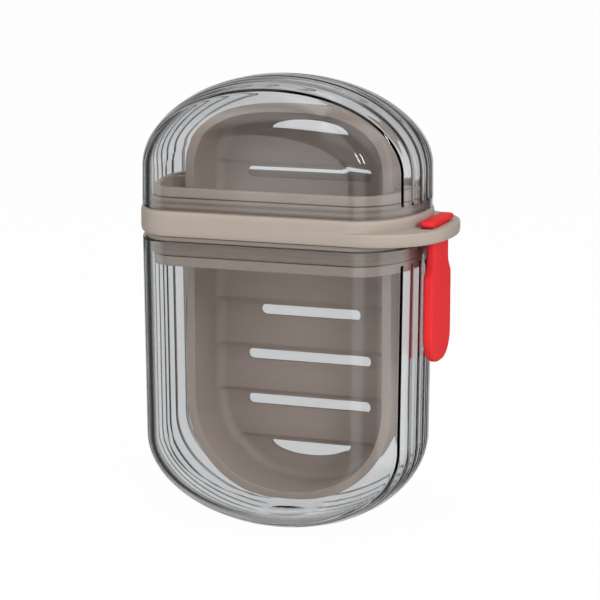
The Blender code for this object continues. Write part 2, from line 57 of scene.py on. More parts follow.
SKIN_SOCKETS = {
    "INPUT": {
        "Vector": "NodeSocketVector",
        "Colour": "NodeSocketColor",
        "Drift Colour": "NodeSocketColor",
        "Drift": "NodeSocketFloat",
        "Grain Size": "NodeSocketFloat",
        "Matte": "NodeSocketFloat",
        "Cloudiness": "NodeSocketFloat",
    },
    "OUTPUT": {"Colour": "NodeSocketColor", "Roughness": "NodeSocketFloat", "Height": "NodeSocketFloat"},
}

Colour = tuple[float, float, float]
Point = tuple[float, float, float]
Pair = tuple[float, float]
Socket = bpy.types.NodeSocket
Row = tuple[int, float]
Inputs = dict[str | int, object]


class Half(Enum):
    """Which way a cover's closed end lies from its rim."""

    UPPER = 1.0
    LOWER = -1.0


class Reach(Enum):
    """How a point of the ring's section follows the tab."""

    PLAIN = "plain"
    TAB = "tab"
    TAB_EDGE = "tab_edge"


class Combining(Enum):
    """What a helper shape does to the piece it meets."""

    CUT = "DIFFERENCE"
    JOIN = "UNION"


Section = list[tuple[float, float, Reach]]


@dataclass(frozen=True)
class CaseOutline:
    """The case's outline, which all its pieces are drawn from."""

    half_width: float = 0.0411
    half_depth: float = 0.0252
    edge_run: float = 0.0150
    side_draft: float = 0.0110
    tab_power: float = 2.4
    lower_rim: float = 0.0841
    ring_base: float = 0.0857
    ring_top: float = 0.0926
    upper_rim: float = 0.0929
    top: float = 0.1296
    wall: float = 0.0018
    collar_gap: float = 0.0011
    collar_wall: float = 0.0020
    seal_recess: float = 0.0010
    face_gap: float = 0.0003

    @property
    def flat_half_width(self) -> float:
        """Half width of the flat front and back windows."""
        return self.half_width - self.edge_run

    @property
    def collar_inset(self) -> float:
        """How far inside the case's side the collar's outer face lies."""
        return self.wall + self.collar_gap

    def side_at(self, z: float) -> float:
        """Half width of the case's side at a height, with its draft away from the ring."""
        return self.half_width - self.side_draft * abs(z - (self.ring_base + self.ring_top) / 2)

    def plan_point(self, share: float, right: bool, inset: float, reach: float = 0.0) -> Pair:
        """Gives a point of the outline seen from above.

        Args:
            share: Place along this half, from 0 at its first window to 1 at its last.
            right: True for the +X half, False for the other one.
            inset: How far inside the case's side the point lies.
            reach: Extra reach of the half, as the tab has, whose curve is squarer.

        Returns:
            The point's x and y.
        """
        angle = math.pi * (share - 0.5)
        side = 1.0 if right else -1.0
        power = self.tab_power if reach else 2.0
        bow = max(0.0, 1.0 - abs(math.sin(angle)) ** power) ** (1.0 / power)
        x = self.flat_half_width + (self.edge_run + reach - inset) * bow
        return side * x, side * (self.half_depth - inset) * math.sin(angle)


OUTLINE = CaseOutline()


def eased(share: float) -> float:
    """Eases from 0 to 1."""
    share = min(max(share, 0.0), 1.0)
    return share * share * (3.0 - 2.0 * share)


def quarter_turn(steps: int) -> list[float]:
    """Lists angles in radians from 0 to 90 degrees in even steps."""
    return [math.pi / 2 * k / steps for k in range(steps + 1)]


def grid_sheet(bm: BMesh, across: int, along: int, point: Callable[[int, int], Vector]) -> dict:
    """Adds a grid and moves each of its corners to its place.

    Args:
        bm: Mesh that takes the grid.
        across: Faces across the grid.
        along: Faces along the grid.
        point: Gives the place of corner (i, j).

    Returns:
        The grid's vertices by (i, j).
    """
    corners = {}
    for vert in bmesh.ops.create_grid(bm, x_segments=across, y_segments=along, size=1.0)["verts"]:
        i = round((vert.co.x + 1.0) / 2.0 * across)
        j = round((vert.co.y + 1.0) / 2.0 * along)
        corners[i, j] = vert
    for (i, j), vert in corners.items():
        vert.co = point(i, j)
    return corners


def mesh_from(bm: BMesh, name: str) -> bpy.types.Mesh:
    """Turns a bmesh into a mesh with merged doubles and outward faces, and frees it.

    Args:
        bm: Closed shape to turn.
        name: Name of the mesh.

    Returns:
        The new mesh.
    """
    bmesh.ops.remove_doubles(bm, verts=bm.verts, dist=MERGE_DISTANCE)
    bmesh.ops.recalc_face_normals(bm, faces=bm.faces)
    mesh = bpy.data.meshes.new(name)
    bm.to_mesh(mesh)
    bm.free()
    return mesh


def put_in_scene(name: str, data: bpy.types.ID) -> bpy.types.Object:
    """Puts an object in the scene.

    Args:
        name: Its name.
        data: Its mesh, lamp or camera.

    Returns:
        The object.
    """
    shown = bpy.data.objects.new(name, data)
    bpy.context.scene.collection.objects.link(shown)
    return shown


def aimed(name: str, data: bpy.types.ID, place: Point, target: Point) -> bpy.types.Object:
    """Puts a lamp or camera in the scene and turns it to a point.

    Args:
        name: Its name.
        data: The lamp or camera.
        place: Where it stands.
        target: What it faces.

    Returns:
        The object.
    """
    stand = put_in_scene(name, data)
    stand.location = place
    stand.rotation_euler = (Vector(target) - Vector(place)).to_track_quat("-Z", "Y").to_euler()
    return stand


def combined(bm: BMesh, helper: BMesh, combining: Combining) -> BMesh:
    """Cuts a helper from a shape or joins it on with an exact Boolean, and frees both.

    Args:
        bm: Shape that is kept.
        helper: Shape that cuts it or is joined to it.
        combining: Whether the helper cuts or joins.

    Returns:
        The combined shape.
    """
    kept = put_in_scene("kept_shape", mesh_from(bm, "kept_shape"))
    tool = put_in_scene("helper_shape", mesh_from(helper, "helper_shape"))
    modifier = kept.modifiers.new("combined", "BOOLEAN")
    modifier.operation = combining.value
    modifier.solver = "EXACT"
    modifier.object = tool
    result = bmesh.new()
    result.from_mesh(kept.evaluated_get(bpy.context.evaluated_depsgraph_get()).to_mesh())
    for shape in (kept, tool):
        mesh = shape.data
        bpy.data.objects.remove(shape)
        bpy.data.meshes.remove(mesh)
    return result


def add_prism(bm: BMesh, corners: list[Point], push: Point) -> list[bmesh.types.BMFace]:
    """Adds a prism to a shape.

    Args:
        bm: Shape that takes it.
        corners: Corners of its first end, in order.
        push: The way from its first end to its other end.

    Returns:
        Its two ends.
    """
    first = bmesh.ops.contextual_create(bm, geom=[bm.verts.new(corner) for corner in corners])["faces"]
    pushed = bmesh.ops.extrude_face_region(bm, geom=first)["geom"]
    far = [part for part in pushed if isinstance(part, bmesh.types.BMVert)]
    bmesh.ops.translate(bm, vec=Vector(push), verts=far)
    return first + [part for part in pushed if isinstance(part, bmesh.types.BMFace)]


def round_edges(bm: BMesh, edges: list[bmesh.types.BMEdge], radius: float, segments: int) -> None:
    """Rounds edges of a shape to a radius with this many facets."""
    bmesh.ops.bevel(bm, geom=edges, offset=radius, segments=segments, profile=0.5, affect="EDGES", material=-1)


def place_piece(
    bm: BMesh, name: str, material: bpy.types.Material, nodes: tuple[str, ...], smooth_angle: float = 40.0
) -> bpy.types.Object:
    """Adds a finished piece to the scene in place of its CAD nodes.

    Args:
        bm: The piece's closed shape, in its place.
        name: Name of the piece.
        material: Its finish.
        nodes: CAD nodes that the piece stands for.
        smooth_angle: Edges that turn more than this many degrees stay sharp.

    Returns:
        The new object.
    """
    mesh = mesh_from(bm, name)
    mesh.materials.append(material)
    mesh.shade_smooth()
    mesh.set_sharp_from_angle(angle=math.radians(smooth_angle))
    piece = put_in_scene(name, mesh)
    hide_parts(*nodes)
    LOG.info("%s: %d faces", name, len(mesh.polygons))
    return piece


# Finishes


class NodeSheet:
    """Lays shader nodes out and feeds their inputs."""

    def __init__(self, tree: bpy.types.NodeTree) -> None:
        """Starts a sheet on a node tree.

        Args:
            tree: Tree that takes the nodes.
        """
        self.tree = tree
        self.count = 0

    def feed(self, node: bpy.types.Node, inputs: Inputs) -> None:
        """Feeds a node's inputs.

        Args:
            node: The node.
            inputs: Socket to link or value to set for each input, by its name or number.
        """
        for key, value in inputs.items():
            if isinstance(value, Socket):
                self.tree.links.new(value, node.inputs[key])
            else:
                node.inputs[key].default_value = value

    def add(self, kind: str, label: str, inputs: Inputs | None = None, **settings: object) -> bpy.types.Node:
        """Adds a node.

        Args:
            kind: Blender's name for the kind of node.
            label: Label shown on the node.
            inputs: What feeds its inputs.
            **settings: Properties to set on it first.

        Returns:
            The node.
        """
        node = self.tree.nodes.new(kind)
        node.label = label
        node.location = (NODE_SPACING * self.count, 0.0)
        self.count += 1
        for setting, value in settings.items():
            setattr(node, setting, value)
        self.feed(node, inputs or {})
        return node

    def calc(self, label: str, operation: str, *values: Socket | float, clamped: bool = False) -> Socket:
        """Adds a Math node that works on sockets or numbers, and gives its result."""
        inputs = dict(enumerate(values))
        return self.add("ShaderNodeMath", label, inputs, operation=operation, use_clamp=clamped).outputs[0]

    def mix(self, label: str, kind: str, share: Socket, first: Socket, second: Socket | float) -> Socket:
        """Mixes two numbers (kind FLOAT) or colours (RGBA), by the share of the second one."""
        inputs = {"Factor": share, "A": first, "B": second}
        return self.add("ShaderNodeMix", label, inputs, data_type=kind).outputs["Result"]

    def noise(self, label: str, place: Socket, scale: Socket | float, detail: float, rough: float = 0.5) -> Socket:
        """Adds noise from 0 to 1, with its scale per metre, its finer layers and how strong those are."""
        inputs = {"Vector": place, "Scale": scale, "Detail": detail, "Roughness": rough}
        return self.add("ShaderNodeTexNoise", label, inputs).outputs["Fac"]

    def ramp(self, label: str, value: Socket, start_end: Pair, levels: Pair, kind: str = "SMOOTHSTEP") -> Socket:
        """Maps a number from one level to another.

        Args:
            label: Label shown on the node.
            value: The number.
            start_end: Where it starts and ends.
            levels: The levels at both.
            kind: Blender's name for the way between them.

        Returns:
            The mapped level.
        """
        names = ("From Min", "From Max", "To Min", "To Max")
        inputs = {"Value": value, **dict(zip(names, start_end + levels, strict=True))}
        return self.add("ShaderNodeMapRange", label, inputs, interpolation_type=kind).outputs["Result"]

    def relief(self, label: str, height: Socket, depth: float) -> Socket:
        """Turns a height from 0 to 1 into the normal of a relief of this depth."""
        return self.add("ShaderNodeBump", label, {"Height": height, "Distance": depth, "Strength": 1.0}).outputs[0]

    def put_out(self, label: str, share: Socket, shader: bpy.types.Node, other: bpy.types.Node) -> None:
        """Mixes two shaders, by the share of the other one, into the material's output."""
        mixed = self.add("ShaderNodeMixShader", label, {0: share, 1: shader.outputs[0], 2: other.outputs[0]})
        self.feed(self.tree.nodes["Material Output"], {"Surface": mixed.outputs[0]})


def new_material(name: str) -> tuple[bpy.types.Material, NodeSheet, bpy.types.Node]:
    """Starts a material.

    Args:
        name: Its name.

    Returns:
        The material, a sheet for its nodes and its Principled shader.
    """
    material = bpy.data.materials.new(name)
    material.use_nodes = True
    return material, NodeSheet(material.node_tree), material.node_tree.nodes["Principled BSDF"]


def moulded_skin_group() -> bpy.types.NodeTree:
    """Builds the skin of a moulded piece: spark-eroded grain, cloudy gloss and a faint drift of colour.

    Returns:
        The node group, with outputs Colour, Roughness and Height.
    """
    tree = bpy.data.node_groups.new("moulded_skin", "ShaderNodeTree")
    for in_out, sockets in SKIN_SOCKETS.items():
        for name, kind in sockets.items():
            tree.interface.new_socket(name, in_out=in_out, socket_type=kind)
    sheet = NodeSheet(tree)
    given = sheet.add("NodeGroupInput", "given").outputs
    frequency = sheet.calc("grain frequency", "DIVIDE", 1.0, given["Grain Size"])
    grain = sheet.noise("grain", given["Vector"], frequency, GRAIN_DETAIL, GRAIN_ROUGHNESS)
    clouds = sheet.noise("clouds", given["Vector"], CLOUD_SCALE, CLOUD_DETAIL)
    drift = sheet.calc("drift", "MULTIPLY", clouds, given["Drift"])
    colour = sheet.mix("colour", "RGBA", drift, given["Colour"], given["Drift Colour"])
    centred = sheet.calc("centred clouds", "SUBTRACT", clouds, 0.5)
    rough = sheet.calc("roughness", "MULTIPLY_ADD", centred, given["Cloudiness"], given["Matte"], clamped=True)
    sheet.add("NodeGroupOutput", "put out", {"Colour": colour, "Roughness": rough, "Height": grain})
    return tree


@dataclass(frozen=True)
class MouldedFinish:
    """An opaque moulded plastic or silicone."""

    name: str
    colour: Colour
    drift_colour: Colour
    drift: float
    grain_size: float
    grain_depth: float
    matte: float
    cloudiness: float
    ior: float = 1.48
    subsurface: float = 0.0
    scatter_share: Colour = (1.0, 0.25, 0.2)
    scatter_depth: float = 0.0012

    def material(self, skin: bpy.types.NodeTree) -> bpy.types.Material:
        """Builds the finish.

        Args:
            skin: The moulded skin's node group.

        Returns:
            The material.
        """
        material, sheet, shader = new_material(self.name)
        given = {
            "Vector": sheet.add("ShaderNodeTexCoord", "place").outputs["Object"],
            "Colour": (*self.colour, 1.0),
            "Drift Colour": (*self.drift_colour, 1.0),
            "Drift": self.drift,
            "Grain Size": self.grain_size,
            "Matte": self.matte,
            "Cloudiness": self.cloudiness,
        }
        surface = sheet.add("ShaderNodeGroup", "moulded skin", given, node_tree=skin).outputs
        normal = sheet.relief("grain relief", surface["Height"], self.grain_depth)
        shown = {"Base Color": surface["Colour"], "Roughness": surface["Roughness"], "Normal": normal}
        sheet.feed(shader, {**shown, "IOR": self.ior})
        if self.subsurface:
            scattered = {"Subsurface Weight": self.subsurface, "Subsurface Radius": self.scatter_share}
            sheet.feed(shader, {**scattered, "Subsurface Scale": self.scatter_depth})
        return material


@dataclass(frozen=True)
class ClearFinish:
    """Clear polished plastic, a little smoky, with the slow waves that moulding leaves in it."""

    name: str = "clear_plastic"
    tint: Colour = (0.91, 0.92, 0.93)
    lamp_tint: Colour = (0.86, 0.86, 0.86)
    ior: float = 1.57
    polish: float = 0.012
    scuffing: float = 0.05
    scuff_scale: float = 240.0
    scuff_detail: float = 5.0
    scuff_range: Pair = (0.62, 0.85)
    wave_length: float = 0.016
    wave_depth: float = 0.00003

    def material(self) -> bpy.types.Material:
        """Builds the finish: clear plastic for what the eye sees, tinted see-through for the lamps' light.

        Returns:
            The material.
        """
        material, sheet, shader = new_material(self.name)
        place = sheet.add("ShaderNodeTexCoord", "place").outputs["Object"]
        waves = sheet.noise("moulding waves", place, 1.0 / self.wave_length, 0.0)
        scuffs = sheet.noise("scuffs", place, self.scuff_scale, self.scuff_detail)
        roughness = (self.polish, self.polish + self.scuffing)
        shown = {
            "Base Color": (*self.tint, 1.0),
            "Transmission Weight": 1.0,
            "IOR": self.ior,
            "Normal": sheet.relief("waves", waves, self.wave_depth),
            "Roughness": sheet.ramp("polish", scuffs, self.scuff_range, roughness, "LINEAR"),
        }
        sheet.feed(shader, shown)
        rays = sheet.add("ShaderNodeLightPath", "rays").outputs
        soft = sheet.calc("lamps and soft light", "MAXIMUM", rays["Is Shadow Ray"], rays["Is Diffuse Ray"])
        passing = sheet.add("ShaderNodeBsdfTransparent", "passing light", {"Color": (*self.lamp_tint, 1.0)})
        sheet.put_out("clear or passing", soft, shader, passing)
        return material


BEIGE = MouldedFinish(
    name="beige_plastic",
    colour=(0.372, 0.315, 0.272),
    drift_colour=(0.336, 0.283, 0.243),
    drift=0.25,
    grain_size=0.0005,
    grain_depth=0.00001,
    matte=0.42,
    cloudiness=0.10,
)
TRAY = MouldedFinish(
    name="tray_plastic",
    colour=(0.388, 0.325, 0.282),
    drift_colour=(0.342, 0.287, 0.249),
    drift=0.25,
    grain_size=0.0006,
    grain_depth=0.00001,
    matte=0.44,
    cloudiness=0.12,
)
RUBBER = MouldedFinish(
    name="seal_rubber",
    colour=(0.285, 0.239, 0.204),
    drift_colour=(0.251, 0.21, 0.178),
    drift=0.2,
    grain_size=0.0004,
    grain_depth=0.00001,
    matte=0.55,
    cloudiness=0.08,
)
RED = MouldedFinish(
    name="red_silicone",
    colour=(0.72, 0.018, 0.022),
    drift_colour=(0.64, 0.014, 0.018),
    drift=0.3,
    grain_size=0.00035,
    grain_depth=0.000014,
    matte=0.55,
    cloudiness=0.12,
    ior=1.40,
    subsurface=0.05,
)


# Covers


@dataclass
class ClearCover:
    """One clear cover: ribs round its edge, flat windows front and back, a plain band at its rim."""

    name: str
    half: Half
    rim: float
    band: float
    rise: float
    end_slope: float = 0.0
    foot_cut: float = 0.0004
    groove_pitch: float = 0.0047
    groove_count: int = 7
    groove_depth: float = 0.00045
    groove_width: float = 0.0013
    groove_floor: float = 0.0001
    groove_power: float = 1.15
    groove_run_out: float = 0.0007
    rim_rounding: float = 0.0003
    groove_steps: int = 5
    rib_steps: int = 4
    edge_steps: int = 24
    run_out_steps: int = 6
    end_steps: int = 44
    foot_turn: float = math.radians(10.0)
    window_blend: float = 0.0030
    blend_halvings: int = 40
    rim_segments: int = 3
    rim_turn: float = math.radians(45.0)
    smooth_angle: float = 50.0
    window_weight: int = 100

    @property
    def turn_z(self) -> float:
        """Height at which the straight sides turn into the rounded end."""
        return OUTLINE.top - self.rise if self.half is Half.UPPER else self.rise - self.foot_cut

    @cached_property
    def profile(self) -> list[Pair]:
        """Lists points from the front window to the back one.

        Returns:
            Points as (share of the half depth, groove depth).
        """
        outer = self.groove_pitch * (self.groove_count - 1) / 2
        last = outer + self.groove_width / 2
        ramp = (self.groove_width - self.groove_floor) / 2
        flank = [k / self.groove_steps for k in range(self.groove_steps + 1)]
        groove = [(-self.groove_width / 2 + ramp * s, self.groove_depth * s**self.groove_power) for s in flank]
        groove += [(-across, depth) for across, depth in reversed(groove)]
        turn = math.asin(last / OUTLINE.half_depth)
        turns = [turn + (math.pi / 2 - turn) * k / self.edge_steps for k in range(1, self.edge_steps + 1)]
        edge = [OUTLINE.half_depth * math.sin(a) for a in turns]
        depths = [(-y, 0.0) for y in reversed(edge)]
        for number in range(self.groove_count):
            centre = self.groove_pitch * number - outer
            depths += [(centre + across, depth) for across, depth in groove]
            if number < self.groove_count - 1:
                plain = self.groove_pitch - self.groove_width
                start = centre + self.groove_width / 2
                depths += [(start + plain * k / self.rib_steps, 0.0) for k in range(1, self.rib_steps)]
        depths += [(y, 0.0) for y in edge]
        return [(y / OUTLINE.half_depth, depth) for y, depth in depths]

    def edge_inset(self, across: float, run: float) -> float:
        """How far the rounded edge has drawn in, bending gently at first out of the flat window.

        Args:
            across: Share of the half depth.
            run: How far in the window starts.

        Returns:
            The inset.
        """
        away = run * math.sqrt(max(0.0, 1.0 - across**2))
        low, high = away, run
        full = 1.0 - math.exp(-run / self.window_blend)
        for _ in range(self.blend_halvings):
            middle = (low + high) / 2
            gentle = middle * math.sqrt((1.0 - math.exp(-middle / self.window_blend)) / full)
            low, high = (middle, high) if gentle < away else (low, middle)
        return run - high

    def stations(self, past: float) -> list[tuple[float, float, float, float]]:
        """Lists stations from one side of the rim round to the other.

        Args:
            past: How far past the rim they start and end.

        Returns:
            Stations as (side, z, angle, groove share).
        """
        up = self.half.value
        band_end = self.rim + up * self.band
        straight = [(self.rim - up * past, 0.0)]
        for k in range(self.run_out_steps + 1):
            share = k / self.run_out_steps
            straight.append((band_end + up * self.groove_run_out * share, math.sin(math.pi / 2 * share)))
        straight.append((self.turn_z, 1.0))
        stations = [(1.0, z, 0.0, share) for z, share in straight]
        for k in range(1, 2 * self.end_steps):
            angle = math.pi * k / (2 * self.end_steps)
            stations.append((1.0, self.turn_z, angle, self.groove_share(angle)))
        return stations + [(-1.0, z, 0.0, share) for z, share in reversed(straight)]

    def groove_share(self, angle: float) -> float:
        """Gives the grooves' depth round the closed end: full, but none on the lower cover's foot.

        Args:
            angle: Angle round the end, from its +X side.

        Returns:
            The share of the full depth.
        """
        if self.half is Half.UPPER:
            return 1.0
        return eased(abs(angle - math.pi / 2) / self.foot_turn - 1.0)

    def pebble(self, wall: float) -> BMesh:
        """Builds the closed shape inside the cover's outer face, or the hollow inside its inner one.

        Args:
            wall: Wall thickness for the hollow, which runs on past the rim, or 0 for the outer face.

        Returns:
            The closed shape.
        """
        stations = self.stations(2 * wall)
        half_depth = OUTLINE.half_depth - wall
        run = OUTLINE.edge_run - wall
        insets = [self.edge_inset(across, run) for across, _ in self.profile]

        def point(i: int, j: int) -> Vector:
            """Place of profile point i at station j."""
            across, depth = self.profile[i]
            side, z, angle, share = stations[j]
            cut = wall or depth * share
            x = side * (OUTLINE.side_at(z) - insets[i] - cut)
            if angle:
                x *= math.cos(angle)
                end_inset = insets[i] * (1.0 + self.end_slope * (1.0 - insets[i] / run))
                z += self.half.value * (self.rise - end_inset - cut) * math.sin(angle)
            return Vector((x, half_depth * across, z))

        bm = bmesh.new()
        last, end = len(self.profile) - 1, len(stations) - 1
        corners = grid_sheet(bm, last, end, point)
        rim = []
        for i in (0, last):
            window = [bm.edges.get((corners[i, j], corners[i, j + 1])) for j in range(end)]
            rim.append(bm.edges.new((corners[i, 0], corners[i, end])))
            bmesh.ops.edgeloop_fill(bm, edges=window + rim[-1:])
        for j in (0, end):
            rim += [bm.edges.get((corners[i, j], corners[i + 1, j])) for i in range(last)]
        bmesh.ops.edgeloop_fill(bm, edges=rim)
        if self.half is Half.LOWER and not wall:
            self.cut_foot(bm)
        return bm

    @staticmethod
    def cut_foot(bm: BMesh) -> None:
        """Cuts the keel off level with the ground, so that the case stands.

        Args:
            bm: The cover's outer shape.
        """
        geometry = [*bm.verts, *bm.edges, *bm.faces]
        ground, down = (0.0, 0.0, 0.0), (0.0, 0.0, -1.0)
        cut = bmesh.ops.bisect_plane(bm, geom=geometry, plane_co=ground, plane_no=down, clear_outer=True)["geom_cut"]
        bmesh.ops.edgeloop_fill(bm, edges=[part for part in cut if isinstance(part, bmesh.types.BMEdge)])

    def shell(self) -> BMesh:
        """Builds the cover's shell, with its rim rounded.

        Returns:
            The closed shell.
        """
        bm = combined(self.pebble(0.0), self.pebble(OUTLINE.wall), Combining.CUT)
        rims = [
            edge
            for edge in bm.edges
            if all(abs(vert.co.z - self.rim) < MERGE_DISTANCE for vert in edge.verts)
            and edge.calc_face_angle(0.0) > self.rim_turn
        ]
        round_edges(bm, rims, self.rim_rounding, self.rim_segments)
        return bm

    def build(self, material: bpy.types.Material) -> None:
        """Adds the cover to the scene.

        Args:
            material: The clear plastic.
        """
        name, nodes = "clear_" + self.name, (self.name,)
        piece = place_piece(self.shell(), name, material, nodes, self.smooth_angle)
        even = piece.modifiers.new("flat_windows", "WEIGHTED_NORMAL")
        even.mode = "FACE_AREA"
        even.weight = self.window_weight
        even.keep_sharp = True
        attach(piece, self.name)


# Ring and seals


@dataclass
class SweptBand:
    """A closed section swept round the case's outline."""

    steps: int = 44
    tab_reach: float = 0.0074
    tab_edge: float = 0.0006
    overhang: float = 0.0004

    def tab_share(self, share: float, right: bool) -> float:
        """How much of the tab's reach shows here, from 0 to 1."""
        far = OUTLINE.plan_point(share, right, 0.0, self.tab_reach)[0]
        return min(1.0, (far - OUTLINE.plan_point(share, right, 0.0)[0]) / self.tab_edge) if right else 0.0

    def swept(self, section: Section) -> BMesh:
        """Sweeps a section round the outline.

        Args:
            section: Points as (inset, z, reach), in order round the section.

        Returns:
            The closed band.
        """
        count, steps = len(section), self.steps

        def point(i: int, j: int) -> Vector:
            """Place of section point i at step j of the outline."""
            inset, z, reach = section[i % count]
            end, k = divmod(j % (2 * (steps + 1)), steps + 1)
            share, right = k / steps, end == 0
            if reach is Reach.TAB_EDGE:
                inset = -self.overhang + (inset + self.overhang) * self.tab_share(share, right)
            out = self.tab_reach if right and reach is not Reach.PLAIN else 0.0
            return Vector((*OUTLINE.plan_point(share, right, inset, out), z))

        bm = bmesh.new()
        grid_sheet(bm, count, 2 * (steps + 1), point)
        return bm


def eased_edge(inset: float, z: float, run: float, drop: float, steps: int = 7) -> list[Pair]:
    """Gives the points of an elliptical edge.

    Args:
        inset: Inset of the upright face it ends on.
        z: Height or depth of the flat face it starts from.
        run: How far in from the upright face it starts.
        drop: How far along from the flat face it ends.
        steps: Facets of the edge.

    Returns:
        Points as (inset, z).
    """
    return [(inset + run * (1 - math.sin(a)), z + drop * (1 - math.cos(a))) for a in quarter_turn(steps)]


def following(reach: Reach, points: list[Pair]) -> Section:
    """Marks section points with how they follow the tab."""
    return [(inset, z, reach) for inset, z in points]


def rounded_block(size: Point, centre: Point, corner: float, edge: float = 0.0) -> BMesh:
    """Builds a block with rounded upright corners.

    Args:
        size: Its width, depth and height.
        centre: Its middle.
        corner: Radius of the upright corners.
        edge: Radius of the edges of its top and bottom, or 0.

    Returns:
        The closed block.
    """
    bm = bmesh.new()
    bmesh.ops.create_cube(bm, size=1.0)
    bmesh.ops.scale(bm, vec=Vector(size), verts=bm.verts)
    upright = [e for e in bm.edges if abs(e.verts[0].co.z - e.verts[1].co.z) > size[2] / 2]
    round_edges(bm, upright, corner, CORNER_SEGMENTS)
    if edge:
        level = [e for e in bm.edges if abs(e.verts[0].co.z - e.verts[1].co.z) < MERGE_DISTANCE]
        round_edges(bm, level, edge, EDGE_SEGMENTS)
    bmesh.ops.translate(bm, vec=Vector(centre), verts=bm.verts)
    return bm


@dataclass
class MiddleRing:
    """The beige ring with its tab, the collar that plugs into both covers and the tray's guides."""

    band: SweptBand
    seals: SealingRings
    edge_run: float = 0.0005
    crown: float = 0.0016
    tab_thickness: float = 0.0036
    nose_wall: float = 0.0029
    collar_above: float = 0.00645
    collar_below: float = 0.0087
    collar_edge: float = 0.0004
    guide_width: float = 0.0034
    guide_front: float = 0.0032
    guide_corner: float = 0.0004
    guide_sink: float = 0.0003
    slot_width: float = 0.0034
    slot_length: float = 0.0138
    slot_corner: float = 0.0014
    tray_side: float = 0.0302
    tab_edge_steps: int = 5
    collar_edge_steps: int = 4

    @property
    def tab_top(self) -> float:
        """Height of the tab's top face."""
        return OUTLINE.ring_base + self.tab_thickness

    @property
    def slot_x(self) -> float:
        """Middle of the strap's slot."""
        return OUTLINE.half_width + self.band.overhang + self.band.tab_reach - self.nose_wall - self.slot_width / 2

    @property
    def collar_ends(self) -> Pair:
        """Heights of the collar's top and bottom."""
        return OUTLINE.ring_top + self.collar_above, OUTLINE.ring_base - self.collar_below

    def section(self) -> Section:
        """Lists the points of ring, tab and collar.

        Returns:
            The section.
        """
        out, edge = -self.band.overhang, self.band.tab_edge
        outer, inner = OUTLINE.collar_inset, OUTLINE.collar_inset + OUTLINE.collar_wall
        top, bottom = self.collar_ends
        lip, steps, recess = self.collar_edge, self.collar_edge_steps, outer + OUTLINE.seal_recess
        upper_step = self.seals.upper_top + OUTLINE.face_gap
        lower_step = self.seals.lower_bottom - OUTLINE.face_gap
        collar = [(recess, OUTLINE.ring_top), (recess, upper_step), (outer, upper_step)]
        collar += eased_edge(outer, top, lip, -lip, steps)[::-1]
        collar += eased_edge(inner, top, -lip, -lip, steps)
        collar += eased_edge(inner, bottom, -lip, lip, steps)[::-1]
        collar += eased_edge(outer, bottom, lip, lip, steps)
        collar += [(outer, lower_step), (recess, lower_step), (recess, OUTLINE.ring_base)]
        section = following(Reach.TAB, eased_edge(out, OUTLINE.ring_base, self.edge_run, self.crown))
        section += following(Reach.TAB_EDGE, eased_edge(out, self.tab_top, edge, -edge, self.tab_edge_steps)[::-1])
        section += following(Reach.PLAIN, [(out, self.tab_top)])
        section += following(Reach.PLAIN, eased_edge(out, OUTLINE.ring_top, self.edge_run, -self.crown)[::-1])
        return section + following(Reach.PLAIN, collar)

    def build(self, material: bpy.types.Material) -> None:
        """Adds the ring to the scene.

        Args:
            material: The beige plastic.
        """
        ring = self.band.swept(self.section())
        size = (self.slot_width, self.slot_length, 2 * self.tab_thickness)
        place = (self.slot_x, 0.0, OUTLINE.ring_base + self.tab_thickness / 2)
        ring = combined(ring, rounded_block(size, place, self.slot_corner), Combining.CUT)
        outer = OUTLINE.half_width - OUTLINE.collar_inset - OUTLINE.collar_wall + self.guide_sink
        side = self.tray_side + OUTLINE.face_gap
        top, bottom = self.collar_ends
        for sign in (1.0, -1.0):
            size = (outer - side, self.guide_width, top - bottom - 2 * self.collar_edge)
            place = (sign * (outer + side) / 2, self.guide_front + self.guide_width / 2, (top + bottom) / 2)
            ring = combined(ring, rounded_block(size, place, self.guide_corner), Combining.JOIN)
        piece = place_piece(ring, "beige_ring", material, ("middle_ring",))
        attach(piece, "ring_assembly")


